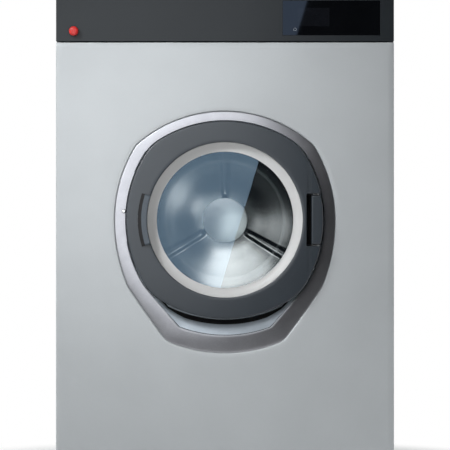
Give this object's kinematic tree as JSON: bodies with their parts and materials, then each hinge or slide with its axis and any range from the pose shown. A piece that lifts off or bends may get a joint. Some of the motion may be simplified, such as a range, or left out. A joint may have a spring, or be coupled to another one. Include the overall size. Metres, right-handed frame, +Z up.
{
  "type": "commercial washing machine",
  "caption": "Free-standing front-loading washer-extractor: sheet metal cabinet, round glazed door in a pressed recess, drum in a sprung tub, belt drive, soap hopper and control fascia.",
  "frame": {"origin": "on the floor under the feet, in the middle of the machine's width and depth", "axes": "+Z up, the door faces -Y, +X to the right seen from the front"},
  "size_m": [0.97, 0.895, 1.41],
  "materials": {
    "cabinet_paint": "light silver grey paint, satin",
    "fascia_film": "dark grey, satin",
    "door_plastic": "dark grey, satin",
    "stainless": "brushed stainless steel",
    "drum_steel": "fine brushed stainless steel",
    "cast_aluminium": "cast, bead blasted",
    "silver_ring": "light silver grey, satin",
    "glass": "clear, polished",
    "display_glass": "black, polished",
    "black_plastic": "black, satin",
    "grey_plastic": "mid grey, satin",
    "red_plastic": "signal red, glossy",
    "rubber": "black, matt",
    "grey_rubber": "grey, matt",
    "cast_iron": "cast, dark painted",
    "steel": "ground steel",
    "zinc": "zinc plated",
    "polished_steel": "polished"
  },
  "bodies": {
    "cabinet": {"base_frame": "zinc", "foot_front_left": "rubber", "foot_front_right": "rubber", "foot_rear_left": "rubber", "foot_rear_right": "rubber", "front_panel": "cabinet_paint", "left_side_panel": "cabinet_paint", "right_side_panel": "cabinet_paint", "rear_panel": "cabinet_paint", "top_cover": "cabinet_paint", "door_pan": "stainless", "trim_ring": "stainless", "latch_stud": "polished_steel", "hinge_bracket": "door_plastic", "hinge_pin": "polished_steel", "lock_housing": "black_plastic", "control_fascia": "fascia_film", "display_glass": "display_glass", "display_module": "black_plastic", "inverter_box": "grey_plastic", "estop_collar": "black_plastic", "soap_hopper": "grey_plastic", "inlet_valve": "grey_plastic", "drain_outlet": "grey_plastic", "cable_gland": "black_plastic", "spring_front_left": "steel", "spring_front_right": "steel", "spring_rear_left": "steel", "spring_rear_right": "steel", "door_gasket": "grey_rubber", "fill_hose": "rubber", "drain_hose": "rubber"},
    "tub": {"tub_shell": "stainless", "tub_front": "stainless", "bearing_housing": "cast_iron", "front_bearing": "steel", "rear_bearing": "steel", "shaft_seal": "rubber", "suspension_cradle": "cast_iron", "ballast": "cast_iron", "motor": "cast_aluminium", "heating_element": "steel", "drain_valve": "grey_plastic", "drive_belt": "rubber"},
    "drum": {"drum_shell": "drum_steel", "drum_back": "drum_steel", "drum_spider": "cast_aluminium", "drum_shaft": "steel", "drum_pulley": "cast_iron", "hub_cap": "drum_steel"},
    "motor_rotor": {"motor_pulley": "steel"},
    "door": {"door_cover": "door_plastic", "door_frame": "cast_aluminium", "door_glass": "glass", "glass_ring": "silver_ring", "door_pane": "glass"},
    "handle": {"door_handle": "door_plastic"},
    "stop_stem": {"estop_stem": "grey_plastic"},
    "stop_button": {"estop_button": "red_plastic"},
    "hopper_lid": {"hopper_lid": "cabinet_paint"}
  },
  "joints": [
    {"name": "tub_travel", "type": "slide", "parent": "cabinet", "child": "tub", "axis": [0, 0, 1], "range_m": [-0.008, 0.008], "stiffness_N_per_m": 300000, "springref_m": 0.00916, "deforming": ["spring_front_left", "spring_front_right", "spring_rear_left", "spring_rear_right", "fill_hose", "door_gasket", "drain_hose"]},
    {"name": "drum_spin", "type": "hinge", "parent": "tub", "child": "drum", "pos_m": [0, -0.3835, 0.7387], "axis": [0, 1, 0], "continuous": true},
    {"name": "motor_spin", "type": "hinge", "parent": "tub", "child": "motor_rotor", "pos_m": [0.12, -0.3835, 0.2097], "axis": [0, 1, 0], "continuous": true},
    {"name": "door_hinge", "type": "hinge", "parent": "cabinet", "child": "door", "pos_m": [0.2589, -0.408, 0.7387], "axis": [0, 0, 1], "range_deg": [0, 170]},
    {"name": "handle_pull", "type": "hinge", "parent": "door", "child": "handle", "pos_m": [-0.2485, -0.427, 0.7387], "axis": [0, 0, -1], "range_deg": [0, 15], "stiffness_Nm_per_rad": 2},
    {"name": "stop_press", "type": "slide", "parent": "cabinet", "child": "stop_stem", "axis": [0, 1, 0], "range_m": [0, 0.004], "stiffness_N_per_m": 1500},
    {"name": "stop_twist", "type": "hinge", "parent": "stop_stem", "child": "stop_button", "pos_m": [-0.4337, -0.3835, 1.28], "axis": [0, 1, 0], "range_deg": [0, 30], "stiffness_Nm_per_rad": 0.05},
    {"name": "lid_hinge", "type": "hinge", "parent": "cabinet", "child": "hopper_lid", "pos_m": [-0.25, -0.022, 1.406], "axis": [-1, 0, 0], "range_deg": [0, 90]}
  ],
  "couplings": [
    {"joint": "motor_spin", "follows": "drum_spin", "ratio": 7}
  ]
}
